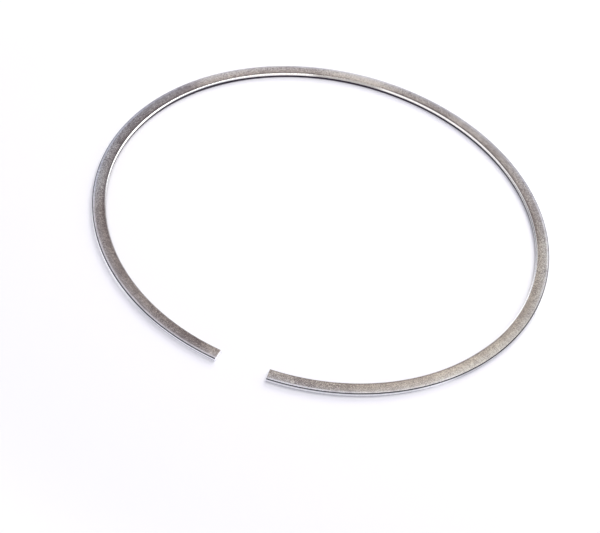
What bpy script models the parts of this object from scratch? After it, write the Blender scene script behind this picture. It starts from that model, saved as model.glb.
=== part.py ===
"""Compression ring for an engine piston, lying unloaded on a flat surface.

One split ring of steel wire with a nearly rectangular section, drawn with its gap open.
Frame: +Z up, gap towards -Y, origin on the surface, under the middle of the outline.
Run with blender --background --python part.py, or from Blender's text editor.
"""

import math

import bmesh
import bpy
from mathutils import Matrix, Vector

# Driving sizes, in metres

BORE = 0.096                 # cylinder that the ring is made for
RADIAL_WALL = 0.00292        # from the inner wall to the running face
AXIAL_HEIGHT = 0.001         # from one side face to the other
CLOSED_GAP = 0.0003          # between the butt ends when the ring is in its cylinder
FREE_GAP = 0.0108            # between the butt ends, at mid wall, when it is unloaded
BARREL_CROWN = 0.00002       # fall of the running face from its middle to its edges
TWIST_BEVEL = 0.00025        # bevel on the upper inner corner
UPPER_OUTER_BREAK = 0.00016  # rounding of the upper outer corner
LOWER_OUTER_BREAK = 0.00008  # rounding of the lower outer corner
LOWER_INNER_BREAK = 0.00022  # rounding of the lower inner corner
END_BREAK = 0.00004          # bevel round the face of each butt end
MARK_DIAMETER = 0.0009       # dot that says which side goes up
MARK_DEPTH = 0.00006         # depth of the dot, whose wall slopes at 45 degrees
MARK_FROM_END = 0.0052       # from the right butt end to the dot's centre
MARK_FROM_EDGE = 0.0011      # from the running face to the dot's centre

# How finely the curves are divided

ARCS_PER_HALF = 30
STEPS_PER_ARC = 3
BARREL_CUTS = 5
BREAK_SEGMENTS = 2
MARK_SIDES = 24
MIRROR_MERGE = 0.00001

# Sizes that follow

NEUTRAL_RADIUS = (BORE - RADIAL_WALL) / 2
HALF_LENGTH = math.pi * NEUTRAL_RADIUS - CLOSED_GAP / 2


def unloaded_line(opening, length):
    """The mid-wall line of the unloaded ring, over this length from its back.

    A ring that presses evenly on its cylinder carries a bending moment that grows from
    nothing at the gap to its most at the back, as 1 + cos(angle from the back). Let go,
    it loses curvature in the same proportion. The line is a chain of short arcs, each
    with the curvature of its place.

    opening is the share of curvature lost at a quarter of the way round. Returns the
    centre and sweep of each arc, the end point and the heading there, for a line that
    starts at (0, 0) towards +X and turns clockwise.
    """
    arcs = []
    point = Vector((0.0, 0.0))
    heading = 0.0
    arc_length = length / ARCS_PER_HALF
    for index in range(ARCS_PER_HALF):
        angle_from_back = (index + 0.5) * arc_length / NEUTRAL_RADIUS
        curvature = (1 - opening * (1 + math.cos(angle_from_back))) / NEUTRAL_RADIUS
        centre = point - outward(heading) / curvature
        sweep = arc_length * curvature
        arcs.append((centre, sweep))
        heading += sweep
        point = centre + outward(heading) / curvature
    return arcs, point, heading


def outward(heading):
    """Unit vector away from the cylinder's axis, for a point that heads this way."""
    return Vector((math.sin(heading), math.cos(heading)))


def opening_for(free_gap):
    """The opening that leaves this gap, found by halving the range it lies in."""
    low = 0.0
    high = 0.2
    for halving in range(50):
        opening = (low + high) / 2
        end_point = unloaded_line(opening, HALF_LENGTH)[1]
        if 2 * end_point.x < free_gap:
            low = opening
        else:
            high = opening
    return opening


OPENING = opening_for(FREE_GAP)


def back_of_line():
    """Y of the mid-wall line at the back, with the outline's middle at y = 0.

    The outline reaches from the running face at the back to the outer corners of the
    butt ends, which are its lowest points in y.
    """
    end_point, end_heading = unloaded_line(OPENING, HALF_LENGTH)[1:]
    half_wall = RADIAL_WALL / 2
    lowest_y = end_point.y + half_wall * outward(end_heading).y
    return -(half_wall + lowest_y) / 2


BACK_Y = back_of_line()


def wire_section(ring):
    """Draws the section of the wire at the back of the ring, as a loop of edges."""
    inner_y = BACK_Y - RADIAL_WALL / 2
    outer_y = BACK_Y + RADIAL_WALL / 2
    lower_inner = ring.verts.new((0, inner_y, 0))
    lower_outer = ring.verts.new((0, outer_y, 0))
    upper_outer = ring.verts.new((0, outer_y, AXIAL_HEIGHT))
    upper_inner = ring.verts.new((0, inner_y, AXIAL_HEIGHT))
    ring.faces.new((lower_inner, lower_outer, upper_outer, upper_inner))

    corner_breaks = (
        (lower_inner, LOWER_INNER_BREAK, BREAK_SEGMENTS),
        (lower_outer, LOWER_OUTER_BREAK, BREAK_SEGMENTS),
        (upper_outer, UPPER_OUTER_BREAK, BREAK_SEGMENTS),
        (upper_inner, TWIST_BEVEL, 1),
    )
    for corner, size, segments in corner_breaks:
        bmesh.ops.bevel(
            ring,
            geom=[corner],
            offset=size,
            segments=segments,
            profile=0.5,
            affect="VERTICES",
            material=-1,
        )
    round_running_face(ring)
    bmesh.ops.delete(ring, geom=ring.faces[:], context="FACES_ONLY")
    return ring.edges[:]


def round_running_face(ring):
    """Gives the outer side of the section its barrel shape."""
    running_edge = max(ring.edges, key=lambda edge: edge.verts[0].co.y + edge.verts[1].co.y)
    bmesh.ops.subdivide_edges(ring, edges=[running_edge], cuts=BARREL_CUTS)
    for vertex in ring.verts:
        if vertex.co.y > BACK_Y:
            share_from_middle = 2 * vertex.co.z / AXIAL_HEIGHT - 1
            vertex.co.y -= BARREL_CROWN * share_from_middle**2


def sweep_wire(ring, edges, arcs):
    """Sweeps the section along the arcs, and returns the loop of edges at the end."""
    for centre, sweep in arcs:
        swept = bmesh.ops.spin(
            ring,
            geom=edges,
            cent=(centre.x, BACK_Y + centre.y, 0),
            axis=(0, 0, 1),
            angle=-sweep,
            steps=STEPS_PER_ARC,
        )
        edges = [part for part in swept["geom_last"] if isinstance(part, bmesh.types.BMEdge)]
    return edges


def close_butt_end(ring, edges):
    """Closes the cut end with a flat face, and bevels the edges round it."""
    butt_face = bmesh.ops.edgeloop_fill(ring, edges=edges)["faces"]
    bmesh.ops.recalc_face_normals(ring, faces=ring.faces[:])
    bmesh.ops.inset_region(
        ring,
        faces=butt_face,
        thickness=END_BREAK,
        depth=END_BREAK,
        use_even_offset=True,
    )


def nitrided_steel():
    """Brown-grey satin steel, as on the side faces."""
    material = bpy.data.materials.new("nitrided_steel")
    material.use_nodes = True
    shader = material.node_tree.nodes["Principled BSDF"]
    shader.inputs["Base Color"].default_value = (0.38, 0.34, 0.31, 1.0)
    shader.inputs["Metallic"].default_value = 1.0
    shader.inputs["Roughness"].default_value = 0.4
    return material


def add_object(name, shape):
    mesh = bpy.data.meshes.new(name)
    shape.to_mesh(mesh)
    shape.free()
    new_object = bpy.data.objects.new(name, mesh)
    bpy.context.scene.collection.objects.link(new_object)
    return new_object


def add_mark_cutter():
    """The tool that sinks the dot into the upper side face."""
    mark_point, mark_heading = unloaded_line(OPENING, HALF_LENGTH - MARK_FROM_END)[1:]
    mark_point += outward(mark_heading) * (RADIAL_WALL / 2 - MARK_FROM_EDGE)
    cutter = bmesh.new()
    bmesh.ops.create_cone(
        cutter,
        cap_ends=True,
        segments=MARK_SIDES,
        radius1=MARK_DIAMETER / 2 - MARK_DEPTH,
        radius2=MARK_DIAMETER / 2 + MARK_DEPTH,
        depth=2 * MARK_DEPTH,
        matrix=Matrix.Translation((mark_point.x, BACK_Y + mark_point.y, AXIAL_HEIGHT)),
    )
    mark_cutter = add_object("mark_cutter", cutter)
    mark_cutter.hide_render = True
    mark_cutter.display_type = "WIRE"
    return mark_cutter


def add_ring(mark_cutter):
    """The ring: its right half swept and closed, then mirrored, then marked."""
    arcs = unloaded_line(OPENING, HALF_LENGTH - END_BREAK)[0]
    half = bmesh.new()
    end_edges = sweep_wire(half, wire_section(half), arcs)
    close_butt_end(half, end_edges)

    ring = add_object("compression_ring", half)
    ring.data.materials.append(nitrided_steel())
    ring.data.shade_smooth()
    ring.data.set_sharp_from_angle(angle=math.radians(20))

    mirror = ring.modifiers.new("left_half", "MIRROR")
    mirror.use_axis = (True, False, False)
    mirror.merge_threshold = MIRROR_MERGE
    mark = ring.modifiers.new("mark", "BOOLEAN")
    mark.operation = "DIFFERENCE"
    mark.solver = "EXACT"
    mark.object = mark_cutter
    return ring


for old_object in list(bpy.data.objects):
    bpy.data.objects.remove(old_object, do_unlink=True)

add_ring(add_mark_cutter())
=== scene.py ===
"""A steel compression ring lying on a pale studio floor.

Lengths are in metres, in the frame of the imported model: +Z up, gap towards -Y.
Finishes count in millimetres, and in degrees from the back towards the right butt end.
"""

import math

import bmesh
import bpy
from mathutils import Matrix, Vector


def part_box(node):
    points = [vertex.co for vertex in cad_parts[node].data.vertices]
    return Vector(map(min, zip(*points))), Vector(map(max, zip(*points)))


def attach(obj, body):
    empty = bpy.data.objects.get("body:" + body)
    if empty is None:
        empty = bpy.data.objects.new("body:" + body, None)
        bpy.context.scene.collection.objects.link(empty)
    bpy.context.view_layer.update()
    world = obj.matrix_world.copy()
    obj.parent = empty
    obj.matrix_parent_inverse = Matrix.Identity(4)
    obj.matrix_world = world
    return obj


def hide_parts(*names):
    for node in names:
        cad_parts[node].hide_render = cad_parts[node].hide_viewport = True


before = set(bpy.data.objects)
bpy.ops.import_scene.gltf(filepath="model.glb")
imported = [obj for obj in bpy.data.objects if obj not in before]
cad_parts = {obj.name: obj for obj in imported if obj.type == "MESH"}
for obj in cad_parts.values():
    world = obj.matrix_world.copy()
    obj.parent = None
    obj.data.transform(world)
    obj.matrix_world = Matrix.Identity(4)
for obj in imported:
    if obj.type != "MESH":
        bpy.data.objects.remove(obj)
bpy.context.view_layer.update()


MM = 0.001

# Sizes of the ring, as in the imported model

RING_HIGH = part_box("compression_ring")[1]
AXIAL_HEIGHT = RING_HIGH.z
BORE = 96.0 * MM
RADIAL_WALL = 2.92 * MM
CLOSED_GAP = 0.30 * MM
OPENING = 0.023475                # share of curvature lost a quarter of the way round
BARREL_CROWN = 0.02 * MM
TWIST_BEVEL = 0.25 * MM
BEVEL_EDGE_BREAK = 0.035 * MM
UPPER_OUTER_BREAK = 0.16 * MM
LOWER_OUTER_BREAK = 0.08 * MM
LOWER_INNER_BREAK = 0.22 * MM
END_BREAK = 0.04 * MM
MARK_DIAMETER = 0.9 * MM
MARK_DEPTH = 0.06 * MM
MARK_FROM_END = 5.2 * MM
MARK_FROM_RUNNING_FACE = 1.1 * MM

NEUTRAL_RADIUS = (BORE - RADIAL_WALL) / 2
HALF_LENGTH = math.pi * NEUTRAL_RADIUS - CLOSED_GAP / 2
BACK_Y = RING_HIGH.y - RADIAL_WALL / 2

# How finely the ring is divided

ARCS_PER_HALF = 60
STEPS_PER_ARC = 6
BARREL_CUTS = 9
BREAK_SEGMENTS = 5
EDGE_SEGMENTS = 3
MARK_SIDES = 64
SHARP_ANGLE = math.radians(30)

# Zones of the surface, in the order of the ring's materials

SIDE_FACE, RUNNING_FACE, INNER_WALL, BUTT_END = range(4)

# A swept face is a side face when its normal is within 8 degrees of upright

FLAT_NORMAL = math.cos(math.radians(8))

# The photograph's camera: where it aims on the floor, and how it looks at it

AIM = Vector((0.464, -15.884, 0.0)) * MM
VIEW_AZIMUTH = math.radians(11.960)
VIEW_ELEVATION = math.radians(45.668)
VIEW_ROLL = math.radians(12.163)
VIEW_DISTANCE = 406.03 * MM
LENS_MM = 115.22
SENSOR_MM = 36.0

# Studio: the floor, the room that the metal sees, and the faint light round the shadows

FLOOR_SIZE = 3.0
FLOOR_DROP = 0.01 * MM
FLOOR_COLOUR = (0.86, 0.86, 0.86, 1)
FLOOR_GLOW = 0.10
FLOOR_GLOW_FAR = 1.0
FLOOR_GLOW_RISES = (0.08, 0.25)
FLOOR_GLOW_IN_METAL = 0.42
ROOM_FRONT = (0.20, 0.20, 0.235, 1)
ROOM_FRONT_HIGH = (1.10, 1.08, 1.08, 1)
ROOM_BACK = (0.90, 0.92, 1.0, 1)
ROOM_HIGH_STARTS = (0.35, 0.60)
ROOM_BACK_STARTS = (-0.30, 0.50)
ROOM_LEAN_RIGHT = 0.60
SHADOW_LIGHT = (0.32, 0.315, 0.46, 1)
WHITE = (1, 1, 1, 1)


# Shader helpers


def new_material(name):
    """A node material: itself, its tree and its Principled shader."""
    material = bpy.data.materials.new(name)
    material.use_nodes = True
    tree = material.node_tree
    return material, tree, tree.nodes["Principled BSDF"]


def plug(tree, socket, value):
    """Links value to the socket if it comes from a node, and sets it there otherwise."""
    if isinstance(value, bpy.types.NodeSocket):
        tree.links.new(value, socket)
    else:
        socket.default_value = value


def node(tree, kind, inputs=None, **settings):
    """A new node with its settings and inputs."""
    made = tree.nodes.new(kind)
    for setting, value in settings.items():
        setattr(made, setting, value)
    for name, value in (inputs or {}).items():
        plug(tree, made.inputs[name], value)
    return made


def calc(tree, operation, first, second=0.0, clamp=False):
    made = node(
        tree, "ShaderNodeMath", {0: first, 1: second}, operation=operation, use_clamp=clamp
    )
    return made.outputs[0]


def total(tree, values):
    result = values[0]
    for value in values[1:]:
        result = calc(tree, "ADD", result, value)
    return result


def slope(tree, value, low, high, at_low=0.0, at_high=1.0):
    """at_low below low, at_high above high, and a smooth step between."""
    ends = {"From Min": low, "From Max": high, "To Min": at_low, "To Max": at_high}
    made = node(
        tree, "ShaderNodeMapRange", {"Value": value, **ends}, interpolation_type="SMOOTHSTEP"
    )
    return made.outputs["Result"]


def patch(tree, value, low, high, edge, height):
    """This height between low and high, with smooth edges of this width around it."""
    middle = (low + high) / 2
    away = calc(tree, "ABSOLUTE", calc(tree, "SUBTRACT", value, middle))
    half_width = (high - low) / 2
    return slope(tree, away, half_width, half_width + edge, height, 0.0)


def patches(tree, value, spans):
    """Patches added up, each given by its low, high, edge and height."""
    return total(tree, [patch(tree, value, *span) for span in spans])


def rest_of(tree, share):
    """What is left of 1 beside a share."""
    return calc(tree, "SUBTRACT", 1.0, share)


def blend(tree, share, first, second, mode="MIX"):
    """Two colours mixed by share."""
    made = node(tree, "ShaderNodeMix", data_type="RGBA", blend_type=mode)
    plug(tree, made.inputs[0], share)
    plug(tree, made.inputs[6], first)
    plug(tree, made.inputs[7], second)
    return made.outputs[2]


def noise(tree, place, scale, detail=2.0, roughness=0.5):
    inputs = {"Vector": place, "Scale": scale, "Detail": detail, "Roughness": roughness}
    return node(tree, "ShaderNodeTexNoise", inputs).outputs["Fac"]


def noise_over(tree, axes, scale, detail):
    """Noise over two coordinates, each given under the number of its axis."""
    place = node(tree, "ShaderNodeCombineXYZ", axes).outputs[0]
    return noise(tree, place, scale, detail)


def swing(tree, pattern, size):
    """A pattern between 0 and 1 turned into one between -size and size."""
    return calc(tree, "MULTIPLY", calc(tree, "SUBTRACT", pattern, 0.5), 2 * size)


def tones(tree, value, stops):
    """A colour ramp through (position, colour) stops."""
    made = node(tree, "ShaderNodeValToRGB", {"Fac": value})
    elements = made.color_ramp.elements
    elements[0].position, elements[0].color = stops[0][0], (*stops[0][1], 1.0)
    elements[1].position, elements[1].color = stops[-1][0], (*stops[-1][1], 1.0)
    for position, colour in stops[1:-1]:
        elements.new(position).color = (*colour, 1.0)
    return made.outputs["Color"]


def places(tree):
    """Where a point of the ring lies, in millimetres and degrees.

    Returns its object position, its height, its angle from the back towards the right
    butt end, and its distance out from the middle of the wall.
    """
    scaled = node(
        tree,
        "ShaderNodeVectorMath",
        {0: node(tree, "ShaderNodeTexCoord").outputs["Object"], "Scale": 1 / MM},
        operation="SCALE",
    ).outputs[0]
    height = node(tree, "ShaderNodeSeparateXYZ", {0: scaled}).outputs["Z"]
    lay = node(tree, "ShaderNodeUVMap", uv_map="lay").outputs[0]
    lay = node(tree, "ShaderNodeSeparateXYZ", {0: lay})
    return scaled, height, lay.outputs["X"], lay.outputs["Y"]


# Finish of the side faces, with painted sheen and shade
# A zone round the ring is its first and last angle, the width of its edges and its height


# Painted sheen and shade round the ring: the lighter zones are painted highlights of the lamps, the
# darker ones painted shade.
SIDE_SHEEN_AND_SHADE = (
    (-177, -172, 3, 0.18),
    (-168, -118, 10, -0.12),
    (-166, -159, 4, -0.12),
    (-102, -96, 4, -0.07),
    (-90, -61, 5, -0.26),
    (-53, -45, 5, 0.10),
    (-15, -4, 8, 0.38),
    (-11, -5, 3, 0.14),
    (5, 75, 12, 0.09),
    (22, 28, 6, 0.14),
    (60, 68, 5, -0.09),
    (90, 108, 8, -0.045),
    (110, 130, 15, 0.04),
    (136, 150, 8, -0.12),
    (154, 166, 3, -0.15),
    (164, 180, 6, -0.03),
)
# Painted shade darkens the inner margin for much of the ring, and painted sheen lightens it near the
# right butt end.
INNER_MARGIN_SHEEN_AND_SHADE = ((-115, 60, 25, -0.26), (3, 22, 5, -0.10), (158, 180, 8, 0.14))
# Painted shade: a dark line along the inner edge in three stretches, where the bevel and the floor
# beside it lie in shade.
INNER_EDGE_PAINTED_SHADE = ((-102, -74, 6, -0.50), (2, 42, 6, -0.42), (108, 180, 10, -0.30))
# The lighter line beside the running face is partly from lapping and partly a painted highlight of
# the edge catching the lamps; these zones brighten it, and the next ones dim it.
LAPPED_LINE_HIGHLIGHTS = ((-180, -114, 6, 0.70), (60, 76, 6, 0.70), (164, 180, 6, 0.75))
LINE_HIGHLIGHT_DIMMED = ((-70, -32, 6, 0.45), (98, 122, 8, 0.75), (134, 148, 6, 0.40))
EVENER_GRAIN = (92, 150, 10, 0.40)

SIDE_TINTS = (
    (-180, -118, 10, (1.0, 0.965, 0.99, 1)),
    (-108, -66, 10, (0.98, 1.01, 1.10, 1)),
    (-58, 58, 12, (1.0, 0.985, 1.02, 1)),
    (92, 148, 10, (1.0, 1.0, 0.97, 1)),
    (166, 180, 8, (1.0, 1.0, 1.04, 1)),
)
INNER_HUE = (1.0, 0.99, 0.95, 1)
OUTER_HUE = (1.0, 1.03, 1.06, 1)

NITRIDED_RAMP = (
    (0.0, (0.125, 0.103, 0.098)),
    (0.30, (0.240, 0.206, 0.195)),
    (0.55, (0.348, 0.311, 0.288)),
    (0.85, (0.530, 0.485, 0.415)),
    (1.0, (0.640, 0.590, 0.520)),
)
LAPPED_AND_HIGHLIT_RAMP = ((0.2, (0.40, 0.39, 0.41)), (1.0, (0.69, 0.68, 0.685)))


def side_face_steel():
    """Brown-grey nitrided side faces with painted sheen and shade round the ring, and a lighter line
    beside the running face that is partly from lapping and partly a painted highlight.
    """
    material, tree, shader = new_material("nitrided_side_face")
    place, height, angle, across = places(tree)

    grain = noise(tree, place, scale=6.5, detail=2.0, roughness=0.7)
    speckle = noise(tree, place, scale=1.7, detail=2.0, roughness=0.6)
    mottle = noise(tree, place, scale=0.75, detail=3.0, roughness=0.6)
    cloud = noise(tree, place, scale=0.16, detail=2.0, roughness=0.5)
    grain_left = rest_of(tree, patch(tree, angle, *EVENER_GRAIN))

    in_mark = calc(
        tree, "MULTIPLY", slope(tree, height, 0.985, 0.96), slope(tree, height, 0.4, 0.5)
    )
    inner_margin = slope(tree, across, -0.45, -0.95)
    inner_line = slope(tree, across, -0.85, -1.05)
    # The tone holds painted sheen and shade round the ring and at the inner margin and edge, beside
    # the random grain and the dot's paler colour.
    tone = total(
        tree,
        [
            slope(tree, across, -0.8, 0.6, at_low=0.455, at_high=0.545),
            calc(tree, "MULTIPLY", inner_margin, patches(tree, angle, INNER_MARGIN_SHEEN_AND_SHADE)),
            calc(tree, "MULTIPLY", inner_line, patches(tree, angle, INNER_EDGE_PAINTED_SHADE)),
            patches(tree, angle, SIDE_SHEEN_AND_SHADE),
            swing(tree, cloud, 0.12),
            swing(tree, mottle, 0.18),
            swing(tree, speckle, 0.16),
            calc(tree, "MULTIPLY", swing(tree, grain, 1.75), grain_left),
            calc(tree, "MULTIPLY", in_mark, 0.35),
        ],
    )
    layer = tones(tree, tone, NITRIDED_RAMP)
    hue = blend(tree, slope(tree, across, -0.5, 0.7), INNER_HUE, OUTER_HUE)
    layer = blend(tree, 1.0, layer, hue, "MULTIPLY")

    # The lighter line beside the running face: partly from lapping, partly a painted highlight.
    lapped_and_highlit = slope(tree, across, 0.76, 1.12, at_low=0.0, at_high=0.85)
    lapped_and_highlit = calc(
        tree, "MULTIPLY", lapped_and_highlit, slope(tree, mottle, 0.25, 0.6, at_low=0.6, at_high=1.0)
    )
    lapped_and_highlit = calc(tree, "MULTIPLY", lapped_and_highlit, rest_of(tree, patches(tree, angle, LINE_HIGHLIGHT_DIMMED)))
    line_highlight_tone = calc(tree, "ADD", tone, patches(tree, angle, LAPPED_LINE_HIGHLIGHTS))
    colour = blend(tree, lapped_and_highlit, layer, tones(tree, line_highlight_tone, LAPPED_AND_HIGHLIT_RAMP))
    for low, high, edge, tint in SIDE_TINTS:
        colour = blend(tree, patch(tree, angle, low, high, edge, 1.0), colour, tint, "MULTIPLY")
    plug(tree, shader.inputs["Base Color"], colour)

    # Lapping leaves fine marks along the ring, which spread highlights across it
    shader.inputs["Metallic"].default_value = 1.0
    plug(tree, shader.inputs["Roughness"], slope(tree, grain, 0.3, 0.7, at_low=0.46, at_high=0.36))
    shader.inputs["Anisotropic"].default_value = 0.7
    shader.inputs["Anisotropic Rotation"].default_value = 0.25
    along = node(tree, "ShaderNodeTangent", direction_type="UV_MAP", uv_map="lay")
    plug(tree, shader.inputs["Tangent"], along.outputs["Tangent"])
    relief = node(
        tree,
        "ShaderNodeBump",
        {"Height": total(tree, [grain, mottle]), "Strength": 0.25, "Distance": 0.01 * MM},
    )
    plug(tree, shader.inputs["Normal"], relief.outputs["Normal"])
    return material


# Finish of the running face


BRIGHT_STEEL = ((0.80, 0.80, 0.83, 1), (0.94, 0.94, 0.96, 1))
# Painted shade: the darker steel colour laid on the running face where it would mirror shaded floor.
RUNNING_FACE_PAINTED_SHADE = (0.30, 0.30, 0.32, 1)
# Painted shade low on the running face, where it mirrors the ring's shadow on the floor.
LOWER_PAINTED_SHADE_STEEL = (0.20, 0.20, 0.23, 1)
# Painted shade: a grey line partway down the running face in one zone.
SHADE_LINE_STEEL = (0.40, 0.40, 0.43, 1)
# Painted shade on the broken upper edge, standing in for the dark room it mirrors, and darker still
# in some zones.
UPPER_EDGE_PAINTED_SHADE = (0.10, 0.10, 0.115, 1)
DEEPER_EDGE_PAINTED_SHADE = (0.010, 0.010, 0.014, 1)

# Zones of painted shade on the running face, where it mirrors the ring's shadow on the floor.
RUNNING_FACE_SHADE_ZONES = ((-180, -154, 8, 0.16), (99, 124, 10, 0.72), (140, 180, 12, 0.46))
# Painted reflection: the running face turned white in one zone, as if it mirrored unshadowed floor.
RUNNING_FACE_HIGHLIGHT_ZONE = (-146, -116, 8, 0.8)
WIDER_EDGE_SHADE = (-152, -124, 8, 0.08)
LOWER_SHADE_ZONE = (140, 180, 10, 0.38)
SHADE_LINE_ZONE = (-180, -150, 12, 0.90)
DEEPER_EDGE_SHADE_ZONES = ((72, 108, 12, 0.5), (72, 150, 10, 0.5))


def running_face_steel():
    """Bright, hard running face, with painted shade on its broken upper edge, low down and in zones
    round it, and a painted reflection in one zone.
    """
    material, tree, shader = new_material("bright_running_face")
    _, height, angle, _ = places(tree)

    streaks = noise_over(tree, {0: angle, 2: height}, scale=1.6, detail=3.0)
    colour = blend(tree, slope(tree, streaks, 0.3, 0.7), *BRIGHT_STEEL)
    colour = blend(tree, patches(tree, angle, RUNNING_FACE_SHADE_ZONES), colour, RUNNING_FACE_PAINTED_SHADE)
    colour = blend(tree, patch(tree, angle, *RUNNING_FACE_HIGHLIGHT_ZONE), colour, WHITE)

    # Painted shade on the broken upper edge, wider in one zone and darker in others.
    edge_shade_height = calc(tree, "ADD", height, patch(tree, angle, *WIDER_EDGE_SHADE))
    deeper_edge_shade = patches(tree, angle, DEEPER_EDGE_SHADE_ZONES)
    edge_shade_colour = blend(tree, deeper_edge_shade, UPPER_EDGE_PAINTED_SHADE, DEEPER_EDGE_PAINTED_SHADE)
    colour = blend(tree, slope(tree, edge_shade_height, 0.76, 0.84), colour, edge_shade_colour)

    # Painted shade low on the running face, in one zone.
    lower_shade = slope(tree, height, 0.42, 0.26)
    lower_shade = calc(tree, "MULTIPLY", lower_shade, patch(tree, angle, *LOWER_SHADE_ZONE))
    colour = blend(tree, lower_shade, colour, LOWER_PAINTED_SHADE_STEEL)

    # A painted shade line partway down the running face.
    shade_line = calc(
        tree, "MULTIPLY", slope(tree, height, 0.58, 0.48), slope(tree, height, 0.20, 0.32)
    )
    shade_line = calc(tree, "MULTIPLY", shade_line, patch(tree, angle, *SHADE_LINE_ZONE))
    colour = blend(tree, shade_line, colour, SHADE_LINE_STEEL)

    plug(tree, shader.inputs["Base Color"], colour)
    shader.inputs["Metallic"].default_value = 1.0
    plug(tree, shader.inputs["Roughness"], slope(tree, streaks, 0.3, 0.7, at_low=0.26, at_high=0.18))
    return material


# Finish of the inner wall


DRAWN_STEEL = ((0.91, 0.895, 0.87, 1), (0.98, 0.97, 0.95, 1))
# Painted shade: a darker patch on the inner wall near the back, where its reflection is shaded.
INNER_WALL_PAINTED_SHADE = (0.33, 0.31, 0.30, 1)
# Painted shade: the lower part of the inner wall made nearly black, for the contact shadow and its
# reflection.
LOWER_WALL_PAINTED_SHADE = (0.030, 0.022, 0.034, 1)
# Painted shade on the bevel round the front, which is seen there at a grazing angle.
FRONT_BEVEL_PAINTED_SHADE = (0.20, 0.18, 0.17, 1)

INNER_WALL_SHADE_PATCH = (-21, -6, 5, 0.75)
LOWER_SHADE_SHIFT = (-100, -55, 20, -0.14)
FRONT_BEVEL_SHADE_ZONES = ((-180, -118, 14, 0.9), (118, 180, 14, 0.9))


def inner_wall_steel():
    """Drawn inner wall and its bevel, smooth and a little warm, with painted shade along its lower
    part, on the bevel round the front and in one patch near the back.
    """
    material, tree, shader = new_material("drawn_inner_wall")
    _, height, angle, _ = places(tree)

    drawn = noise_over(tree, {0: angle, 2: height}, scale=1.1, detail=3.0)
    colour = blend(tree, slope(tree, drawn, 0.3, 0.7), *DRAWN_STEEL)
    # A patch of painted shade on the inner wall, just left of the back.
    colour = blend(tree, patch(tree, angle, *INNER_WALL_SHADE_PATCH), colour, INNER_WALL_PAINTED_SHADE)

    # The lower part of the inner wall is painted shade, reaching higher on the left side.
    shade_height = calc(tree, "ADD", height, patch(tree, angle, *LOWER_SHADE_SHIFT))
    colour = blend(tree, slope(tree, shade_height, 0.74, 0.57), colour, LOWER_WALL_PAINTED_SHADE)

    # Painted shade on the inner bevel round the front.
    front_bevel_shade = patches(tree, angle, FRONT_BEVEL_SHADE_ZONES)
    front_bevel_shade = calc(tree, "MULTIPLY", front_bevel_shade, slope(tree, height, 0.70, 0.76))
    colour = blend(tree, front_bevel_shade, colour, FRONT_BEVEL_PAINTED_SHADE)

    plug(tree, shader.inputs["Base Color"], colour)
    shader.inputs["Metallic"].default_value = 1.0
    plug(tree, shader.inputs["Roughness"], slope(tree, drawn, 0.3, 0.7, at_low=0.24, at_high=0.16))
    return material


# Finish of the butt ends


GROUND_STEEL = ((0.70, 0.70, 0.74, 1), (0.84, 0.84, 0.88, 1))


def butt_end_steel():
    """Ground butt ends, with fine marks of the wheel across them."""
    material, tree, shader = new_material("ground_butt_end")
    _, height, _, across = places(tree)
    marks = noise_over(tree, {1: across, 2: height}, scale=9.0, detail=2.0)
    plug(tree, shader.inputs["Base Color"], blend(tree, marks, *GROUND_STEEL))
    shader.inputs["Metallic"].default_value = 1.0
    shader.inputs["Roughness"].default_value = 0.32
    return material


# Shape of the ring


def outward(heading):
    """Unit vector away from the cylinder's axis, for a point that heads this way."""
    return Vector((math.sin(heading), math.cos(heading)))


def unloaded_line(length):
    """The mid-wall line from the back: centre and sweep of each arc, end point, end heading.

    The ring's curvature falls towards the back, where it bends most when it is closed.
    """
    arcs = []
    point = Vector((0.0, 0.0))
    heading = 0.0
    arc_length = length / ARCS_PER_HALF
    for index in range(ARCS_PER_HALF):
        angle_from_back = (index + 0.5) * arc_length / NEUTRAL_RADIUS
        curvature = (1 - OPENING * (1 + math.cos(angle_from_back))) / NEUTRAL_RADIUS
        centre = point - outward(heading) / curvature
        sweep = arc_length * curvature
        arcs.append((centre, sweep))
        heading += sweep
        point = centre + outward(heading) / curvature
    return arcs, point, heading


def break_corner(ring, corner, size, segments):
    """Rounds or bevels one corner of the section, and returns the vertices that it makes."""
    made = bmesh.ops.bevel(
        ring,
        geom=[corner],
        offset=size,
        segments=segments,
        profile=0.5,
        affect="VERTICES",
        material=-1,
    )
    return made["verts"]


def wire_section(ring, across):
    """The wire's section at the back, as a loop of edges. Each vertex keeps its place across."""
    inner_y = BACK_Y - RADIAL_WALL / 2
    outer_y = BACK_Y + RADIAL_WALL / 2
    lower_inner = ring.verts.new((0, inner_y, 0))
    lower_outer = ring.verts.new((0, outer_y, 0))
    upper_outer = ring.verts.new((0, outer_y, AXIAL_HEIGHT))
    upper_inner = ring.verts.new((0, inner_y, AXIAL_HEIGHT))
    ring.faces.new((lower_inner, lower_outer, upper_outer, upper_inner))
    break_corner(ring, lower_inner, LOWER_INNER_BREAK, BREAK_SEGMENTS)
    break_corner(ring, lower_outer, LOWER_OUTER_BREAK, BREAK_SEGMENTS)
    break_corner(ring, upper_outer, UPPER_OUTER_BREAK, BREAK_SEGMENTS)
    for bevel_corner in break_corner(ring, upper_inner, TWIST_BEVEL, 1):
        break_corner(ring, bevel_corner, BEVEL_EDGE_BREAK, EDGE_SEGMENTS)

    running_edge = max(ring.edges, key=lambda edge: edge.verts[0].co.y + edge.verts[1].co.y)
    bmesh.ops.subdivide_edges(ring, edges=[running_edge], cuts=BARREL_CUTS)
    for vertex in ring.verts:
        vertex[across] = (vertex.co.y - BACK_Y) / MM
        if vertex.co.y > BACK_Y:
            share_from_middle = 2 * vertex.co.z / AXIAL_HEIGHT - 1
            vertex.co.y -= BARREL_CROWN * share_from_middle**2
    bmesh.ops.delete(ring, geom=ring.faces[:], context="FACES_ONLY")
    return ring.edges[:]


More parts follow.
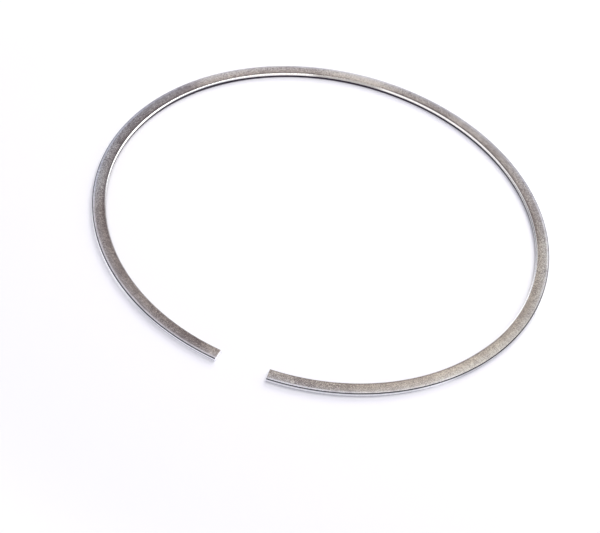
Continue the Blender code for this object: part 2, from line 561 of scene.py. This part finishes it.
def sweep_half(ring, edges, side):
    """Sweeps the section round the right half, side 1, or the left, -1, and closes its end."""
    for centre, sweep in unloaded_line(HALF_LENGTH - END_BREAK)[0]:
        swept = bmesh.ops.spin(
            ring,
            geom=edges,
            cent=(side * centre.x, BACK_Y + centre.y, 0),
            axis=(0, 0, 1),
            angle=-side * sweep,
            steps=STEPS_PER_ARC,
        )
        edges = [part for part in swept["geom_last"] if isinstance(part, bmesh.types.BMEdge)]
    return bmesh.ops.edgeloop_fill(ring, edges=edges)["faces"]


def zone_of(face):
    """The zone that a swept face belongs to, from the way it faces."""
    middle = face.calc_center_median()
    if abs(face.normal.z) > FLAT_NORMAL:
        return SIDE_FACE
    return RUNNING_FACE if face.normal.xy.dot(middle.xy) > 0 else INNER_WALL


def lay_of(spot, across):
    """A point's place in the UV map: its angle from the back, and its place across."""
    return math.degrees(math.atan2(spot.x, spot.y)), across


def lay_out(ring, across):
    """Lays the swept faces out in the UV map, in degrees and millimetres."""
    lay = ring.loops.layers.uv.new("lay")
    for face in ring.faces:
        for loop in face.loops:
            loop[lay].uv = lay_of(loop.vert.co, loop.vert[across])


def cut_mark(ring_object):
    """Sinks the plain dot into the upper side face, near the right butt end."""
    point, heading = unloaded_line(HALF_LENGTH - MARK_FROM_END)[1:]
    mark_across = RADIAL_WALL / 2 - MARK_FROM_RUNNING_FACE
    point = point + outward(heading) * mark_across + Vector((0, BACK_Y))
    tool = bmesh.new()
    bmesh.ops.create_cone(
        tool,
        cap_ends=True,
        segments=MARK_SIDES,
        radius1=MARK_DIAMETER / 2 - MARK_DEPTH,
        radius2=MARK_DIAMETER / 2 + MARK_DEPTH,
        depth=2 * MARK_DEPTH,
        matrix=Matrix.Translation((point.x, point.y, AXIAL_HEIGHT)),
    )
    tool_object = add_mesh("mark_tool", tool)
    cut = ring_object.modifiers.new("mark", "BOOLEAN")
    cut.operation = "DIFFERENCE"
    cut.object = tool_object
    shape = ring_object.evaluated_get(bpy.context.evaluated_depsgraph_get())
    marked = bpy.data.meshes.new_from_object(shape)
    lay_out_mark(marked, point, heading, mark_across)
    ring_object.modifiers.clear()
    ring_object.data = marked
    bpy.data.objects.remove(tool_object)


def lay_out_mark(marked, centre, heading, centre_across):
    """Lays the dot's own faces out in the UV map, like the side face around them."""
    shape = bmesh.new()
    shape.from_mesh(marked)
    lay = shape.loops.layers.uv["lay"]
    for face in shape.faces:
        depth = AXIAL_HEIGHT - face.calc_center_median().z
        if face.material_index != SIDE_FACE or not MARK_DEPTH / 4 < depth < AXIAL_HEIGHT / 2:
            continue
        for loop in face.loops:
            spot = loop.vert.co
            across = centre_across + (spot.xy - centre).dot(outward(heading))
            loop[lay].uv = lay_of(spot, across / MM)
    shape.to_mesh(marked)
    shape.free()


def add_mesh(name, shape):
    mesh = bpy.data.meshes.new(name)
    shape.to_mesh(mesh)
    shape.free()
    made = bpy.data.objects.new(name, mesh)
    bpy.context.scene.collection.objects.link(made)
    return made


def add_ring():
    ring = bmesh.new()
    across = ring.verts.layers.float.new("across")
    start = wire_section(ring, across)
    butt_faces = sweep_half(ring, start, 1) + sweep_half(ring, start, -1)
    bmesh.ops.recalc_face_normals(ring, faces=ring.faces[:])
    for face in ring.faces:
        face.material_index = zone_of(face)
        face.smooth = True
    for face in butt_faces:
        face.material_index = BUTT_END
    bmesh.ops.inset_region(
        ring, faces=butt_faces, thickness=END_BREAK, depth=END_BREAK, use_even_offset=True
    )
    lay_out(ring, across)
    ring_object = add_mesh("ring", ring)
    for finish in (side_face_steel, running_face_steel, inner_wall_steel, butt_end_steel):
        ring_object.data.materials.append(finish())
    cut_mark(ring_object)
    ring_object.data.set_sharp_from_angle(angle=SHARP_ANGLE)
    shading = ring_object.modifiers.new("flat_faces_stay_flat", "WEIGHTED_NORMAL")
    shading.keep_sharp = True
    return ring_object


# Studio


def add_floor():
    """A white floor that shows as white to the camera and in the metal, and keeps shadows."""
    shape = bmesh.new()
    bmesh.ops.create_grid(
        shape, size=FLOOR_SIZE / 2, matrix=Matrix.Translation((0, 0, -FLOOR_DROP))
    )
    floor = add_mesh("floor", shape)
    material, tree, shader = new_material("white_floor")
    shader.inputs["Base Color"].default_value = FLOOR_COLOUR
    shader.inputs["Roughness"].default_value = 1.0
    shader.inputs["Specular IOR Level"].default_value = 0.0

    # The glow that the camera sees rises away from the ring, where there is no shadow
    path = node(tree, "ShaderNodeLightPath").outputs
    spot = node(tree, "ShaderNodeTexCoord").outputs["Object"]
    distance = node(tree, "ShaderNodeVectorMath", {0: spot}, operation="LENGTH").outputs["Value"]
    glow = slope(tree, distance, *FLOOR_GLOW_RISES, at_low=FLOOR_GLOW, at_high=FLOOR_GLOW_FAR)
    glow = calc(tree, "MULTIPLY", path["Is Camera Ray"], glow)
    mirrored = calc(
        tree, "ADD", path["Is Glossy Ray"], path["Is Transmission Ray"], clamp=True
    )
    glow_in_metal = calc(tree, "MULTIPLY", mirrored, FLOOR_GLOW_IN_METAL)
    shader.inputs["Emission Color"].default_value = WHITE
    plug(tree, shader.inputs["Emission Strength"], calc(tree, "ADD", glow, glow_in_metal))
    floor.data.materials.append(material)


def light_world():
    """White to the camera. The metal sees a soft room, and the floor gets its fainter light."""
    world = bpy.data.worlds.new("studio")
    bpy.context.scene.world = world
    world.use_nodes = True
    tree = world.node_tree
    direction = node(tree, "ShaderNodeTexCoord").outputs["Generated"]
    direction = node(tree, "ShaderNodeSeparateXYZ", {0: direction}).outputs
    front_high = slope(tree, direction["Z"], *ROOM_HIGH_STARTS)
    front = blend(tree, front_high, ROOM_FRONT, ROOM_FRONT_HIGH)
    towards_back = calc(tree, "MULTIPLY", direction["X"], ROOM_LEAN_RIGHT)
    towards_back = calc(tree, "ADD", towards_back, direction["Y"])
    room = blend(tree, slope(tree, towards_back, *ROOM_BACK_STARTS), front, ROOM_BACK)
    path = node(tree, "ShaderNodeLightPath").outputs
    light = blend(tree, path["Is Glossy Ray"], SHADOW_LIGHT, room)
    shown = blend(tree, path["Is Camera Ray"], light, WHITE)
    plug(tree, tree.nodes["Background"].inputs["Color"], shown)


def add_softbox(name, place, size, power, colour, in_metal=True):
    """A square lamp that faces the ring, and that the metal shows or not."""
    lamp = bpy.data.lights.new(name, "AREA")
    lamp.shape = "SQUARE"
    lamp.size = size
    lamp.energy = power
    lamp.color = colour
    softbox = bpy.data.objects.new(name, lamp)
    softbox.location = place
    softbox.rotation_mode = "QUATERNION"
    softbox.rotation_quaternion = (-Vector(place)).to_track_quat("-Z", "Y")
    softbox.visible_glossy = in_metal
    bpy.context.scene.collection.objects.link(softbox)


def add_softboxes():
    """A warm key from the right back, one above, and two that only light the floor."""
    add_softbox(
        "key_light", (0.34, 0.36, 0.31), size=0.45, power=1.0, colour=(1.0, 0.97, 0.90)
    )
    add_softbox(
        "top_light", (0.16, 0.14, 0.56), size=0.30, power=1.2, colour=(1.0, 0.98, 0.94)
    )
    add_softbox(
        "floor_light",
        (-0.25, -0.25, 0.70),
        size=0.20,
        power=1.2,
        colour=(1.0, 0.99, 0.86),
        in_metal=False,
    )
    add_softbox(
        "shadow_light",
        (0.00, 1.38, 0.80),
        size=0.60,
        power=9.5,
        colour=(1.0, 0.99, 0.86),
        in_metal=False,
    )


def add_camera():
    """The photograph's view, with the picture turned about the line of sight."""
    back = Vector(
        (
            math.sin(VIEW_AZIMUTH) * math.cos(VIEW_ELEVATION),
            -math.cos(VIEW_AZIMUTH) * math.cos(VIEW_ELEVATION),
            math.sin(VIEW_ELEVATION),
        )
    )
    lens = bpy.data.cameras.new("camera")
    lens.lens = LENS_MM
    lens.sensor_width = SENSOR_MM
    lens.clip_start = 0.01
    lens.clip_end = 10.0
    camera = bpy.data.objects.new("camera", lens)
    camera.location = AIM + back * VIEW_DISTANCE
    camera.rotation_mode = "QUATERNION"
    level = (-back).to_track_quat("-Z", "Y")
    camera.rotation_quaternion = level @ Matrix.Rotation(VIEW_ROLL, 4, "Z").to_quaternion()
    bpy.context.scene.collection.objects.link(camera)
    bpy.context.scene.camera = camera


ring = add_ring()
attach(ring, "root")
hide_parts("compression_ring")

add_floor()
light_world()
add_softboxes()
add_camera()
bpy.context.scene.view_settings.view_transform = "Standard"
